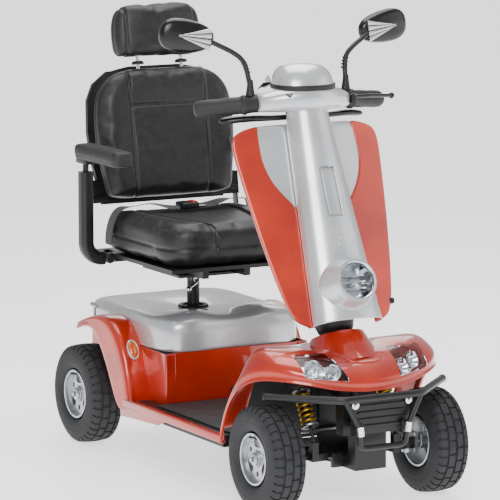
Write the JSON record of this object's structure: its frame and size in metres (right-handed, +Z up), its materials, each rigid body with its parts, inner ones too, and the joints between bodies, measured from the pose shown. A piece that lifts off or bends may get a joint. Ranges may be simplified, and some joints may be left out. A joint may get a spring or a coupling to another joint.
{
  "type": "mobility scooter",
  "caption": "Four-wheel electric mobility scooter with tilting tiller, front shield, padded swivel seat, flip-up armrests and sprung axles.",
  "frame": {"origin": "on the floor at the middle of the bounding box", "axes": "+Z up, -Y towards the front, +X to the driver's left"},
  "size_m": [0.8074, 1.4398, 1.351],
  "materials": {
    "body_paint": "gloss metallic",
    "silver_trim": "satin",
    "frame_paint": "satin",
    "black_plastic": "matte",
    "grip_rubber": "matte",
    "tyre": "matte",
    "wheel_alloy": "satin",
    "clear_lens": "clear",
    "amber_lens": "gloss",
    "upholstery": "coated, slightly glossy",
    "arm_padding": "matte",
    "controller_alloy": "satin",
    "motor_alloy": "satin",
    "spring_paint": "satin",
    "belt_webbing": "woven",
    "bare_steel": "satin"
  },
  "bodies": {
    "chassis": {"chassis_frame": "frame_paint", "floor_pan": "black_plastic", "front_cowl": "body_paint", "headlights": "clear_lens", "front_bumper": "frame_paint", "rear_body": "body_paint", "rear_fenders": "body_paint", "signal_lamps": "amber_lens", "batteries": "black_plastic", "controller": "controller_alloy", "seat_socket": "frame_paint", "front_spring_left": "spring_paint", "front_spring_right": "spring_paint", "rear_springs": "spring_paint"},
    "cover": {"battery_cover": "silver_trim"},
    "rear_axle_unit": {"rear_axle": "frame_paint", "drive_motor": "motor_alloy"},
    "wheel_rear_left": {"tyre_rear_left": "tyre", "rim_rear_left": "wheel_alloy"},
    "wheel_rear_right": {"tyre_rear_right": "tyre", "rim_rear_right": "wheel_alloy"},
    "front_arm_left": {"suspension_arm_left": "frame_paint"},
    "front_arm_right": {"suspension_arm_right": "frame_paint"},
    "knuckle_left_unit": {"knuckle_left": "frame_paint"},
    "knuckle_right_unit": {"knuckle_right": "frame_paint"},
    "wheel_front_left": {"tyre_front_left": "tyre", "rim_front_left": "wheel_alloy"},
    "wheel_front_right": {"tyre_front_right": "tyre", "rim_front_right": "wheel_alloy"},
    "tie_rod_unit": {"tie_rod": "frame_paint"},
    "steering_column": {"steering_stem": "frame_paint"},
    "tiller": {"tiller_tube": "frame_paint", "tiller_back": "black_plastic", "shield_panel": "body_paint", "shield_insert": "silver_trim", "spine_cover": "silver_trim", "headlamp_housing": "silver_trim", "headlamp_lens": "clear_lens", "console": "silver_trim", "grips": "grip_rubber"},
    "throttle": {"throttle_lever": "black_plastic"},
    "brake": {"brake_lever": "bare_steel"},
    "dial": {"speed_dial": "black_plastic"},
    "key": {"ignition_key": "bare_steel"},
    "mirror_left_unit": {"mirror_left": "black_plastic"},
    "mirror_right_unit": {"mirror_right": "black_plastic"},
    "seat_column": {"seat_post": "frame_paint"},
    "turntable": {"seat_swivel": "frame_paint"},
    "seat": {"seat_pan": "frame_paint", "seat_cushion": "upholstery", "lap_belt": "belt_webbing"},
    "turn_lever": {"swivel_lever": "bare_steel"},
    "backrest": {"back_shell": "black_plastic", "back_cushion": "upholstery"},
    "head_support": {"headrest": "upholstery"},
    "arm_left": {"arm_frame_left": "frame_paint"},
    "arm_right": {"arm_frame_right": "frame_paint"},
    "armrest_left": {"arm_pad_left": "arm_padding"},
    "armrest_right": {"arm_pad_right": "arm_padding"},
    "freewheel": {"freewheel_lever": "bare_steel"}
  },
  "joints": [
    {"name": "front_suspension_left", "type": "hinge", "parent": "chassis", "child": "front_arm_left", "pos_m": [0.07, -0.52, 0.14], "axis": [0, -1, 0], "range_deg": [-3, 3], "stiffness_Nm_per_rad": 4000, "springref_deg": -0.69, "deforming": ["front_spring_left"]},
    {"name": "knuckle_steer_left", "type": "hinge", "parent": "front_arm_left", "child": "knuckle_left_unit", "pos_m": [0.19, -0.52, 0.15], "axis": [0, 0, 1], "range_deg": [-30.5, 30.5]},
    {"name": "wheel_front_left_spin", "type": "hinge", "parent": "knuckle_left_unit", "child": "wheel_front_left", "pos_m": [0.264, -0.52, 0.15], "axis": [1, 0, 0], "continuous": true},
    {"name": "wheel_rear_left_spin", "type": "hinge", "parent": "rear_axle_unit", "child": "wheel_rear_left", "pos_m": [0.279, 0.57, 0.15], "axis": [1, 0, 0], "continuous": true},
    {"name": "mirror_left_turn", "type": "hinge", "parent": "tiller", "child": "mirror_left_unit", "pos_m": [0.15602, -0.22733, 1.13], "axis": [0, 0, 1], "range_deg": [-25, 25]},
    {"name": "arm_left_width", "type": "slide", "parent": "seat", "child": "arm_left", "axis": [1, 0, 0], "range_m": [0, 0.04]},
    {"name": "armrest_left_flip", "type": "hinge", "parent": "arm_left", "child": "armrest_left", "pos_m": [0.297, 0.54, 0.88], "axis": [-1, 0, 0], "range_deg": [0, 90]},
    {"name": "front_suspension_right", "type": "hinge", "parent": "chassis", "child": "front_arm_right", "pos_m": [-0.07, -0.52, 0.14], "axis": [0, 1, 0], "range_deg": [-3, 3], "stiffness_Nm_per_rad": 4000, "springref_deg": -0.69, "deforming": ["front_spring_right"]},
    {"name": "knuckle_steer_right", "type": "hinge", "parent": "front_arm_right", "child": "knuckle_right_unit", "pos_m": [-0.19, -0.52, 0.15], "axis": [0, 0, 1], "range_deg": [-30.5, 30.5]},
    {"name": "wheel_front_right_spin", "type": "hinge", "parent": "knuckle_right_unit", "child": "wheel_front_right", "pos_m": [-0.264, -0.52, 0.15], "axis": [1, 0, 0], "continuous": true},
    {"name": "wheel_rear_right_spin", "type": "hinge", "parent": "rear_axle_unit", "child": "wheel_rear_right", "pos_m": [-0.279, 0.57, 0.15], "axis": [1, 0, 0], "continuous": true},
    {"name": "mirror_right_turn", "type": "hinge", "parent": "tiller", "child": "mirror_right_unit", "pos_m": [-0.15602, -0.22733, 1.13], "axis": [0, 0, 1], "range_deg": [-25, 25]},
    {"name": "arm_right_width", "type": "slide", "parent": "seat", "child": "arm_right", "axis": [-1, 0, 0], "range_m": [0, 0.04]},
    {"name": "armrest_right_flip", "type": "hinge", "parent": "arm_right", "child": "armrest_right", "pos_m": [-0.297, 0.54, 0.88], "axis": [-1, 0, 0], "range_deg": [0, 90]},
    {"name": "rear_suspension", "type": "hinge", "parent": "chassis", "child": "rear_axle_unit", "pos_m": [0, 0.32, 0.127], "axis": [1, 0, 0], "range_deg": [-4, 4], "stiffness_Nm_per_rad": 14000, "springref_deg": -0.61, "deforming": ["rear_springs"]},
    {"name": "tiller_steer", "type": "hinge", "parent": "chassis", "child": "steering_column", "pos_m": [0, -0.452, 0.455], "axis": [0, 0.3923, 0.9198], "range_deg": [-40, 40]},
    {"name": "tie_rod_shift", "type": "slide", "parent": "chassis", "child": "tie_rod_unit", "axis": [1, 0, 0], "range_m": [-0.036, 0.036]},
    {"name": "tiller_tilt", "type": "hinge", "parent": "steering_column", "child": "tiller", "pos_m": [0, -0.452, 0.455], "axis": [1, 0, 0], "range_deg": [-11, 10]},
    {"name": "throttle_turn", "type": "hinge", "parent": "tiller", "child": "throttle", "pos_m": [0, -0.245, 1.06], "axis": [0, 0, 1], "range_deg": [-12, 12], "stiffness_Nm_per_rad": 0.6},
    {"name": "brake_pull", "type": "hinge", "parent": "tiller", "child": "brake", "pos_m": [0.156, -0.272, 1.113], "axis": [0, 0, 1], "range_deg": [0, 8], "stiffness_Nm_per_rad": 2, "springref_deg": -2.86},
    {"name": "speed_dial_turn", "type": "hinge", "parent": "tiller", "child": "dial", "pos_m": [0.052, -0.155, 1.14], "axis": [0, 0.5391, 0.8422], "range_deg": [-135, 135]},
    {"name": "key_turn", "type": "hinge", "parent": "tiller", "child": "key", "pos_m": [-0.052, -0.155, 1.14], "axis": [0, 0.5391, 0.8422], "range_deg": [0, 90]},
    {"name": "cover_lift", "type": "slide", "parent": "chassis", "child": "cover", "axis": [0, 0, 1], "range_m": [0, 0.045]},
    {"name": "seat_height", "type": "slide", "parent": "chassis", "child": "seat_column", "axis": [0, 0, 1], "range_m": [0, 0.06]},
    {"name": "seat_turn", "type": "hinge", "parent": "seat_column", "child": "turntable", "pos_m": [0, 0.413, 0.53], "axis": [0, 0, 1], "range_deg": [-90, 90]},
    {"name": "seat_slide", "type": "slide", "parent": "turntable", "child": "seat", "axis": [0, 1, 0], "range_m": [-0.06, 0.06]},
    {"name": "swivel_lever_pull", "type": "hinge", "parent": "turntable", "child": "turn_lever", "pos_m": [-0.04, 0.33, 0.518], "axis": [-1, 0, 0], "range_deg": [0, 20], "stiffness_Nm_per_rad": 0.3, "springref_deg": -8.59},
    {"name": "back_recline", "type": "hinge", "parent": "seat", "child": "backrest", "pos_m": [0, 0.61, 0.66], "axis": [-1, 0, 0], "range_deg": [0, 20]},
    {"name": "headrest_height", "type": "slide", "parent": "backrest", "child": "head_support", "axis": [0, 0.1564, 0.9877], "range_m": [0, 0.08]},
    {"name": "freewheel_pull", "type": "slide", "parent": "chassis", "child": "freewheel", "axis": [0, 0, 1], "range_m": [0, 0.02]}
  ],
  "couplings": [
    {"joint": "knuckle_steer_left", "follows": "tiller_steer", "ratio": 0.75},
    {"joint": "knuckle_steer_right", "follows": "tiller_steer", "ratio": 0.75},
    {"joint": "tie_rod_shift", "follows": "tiller_steer", "m_per_rad": -0.0495}
  ]
}
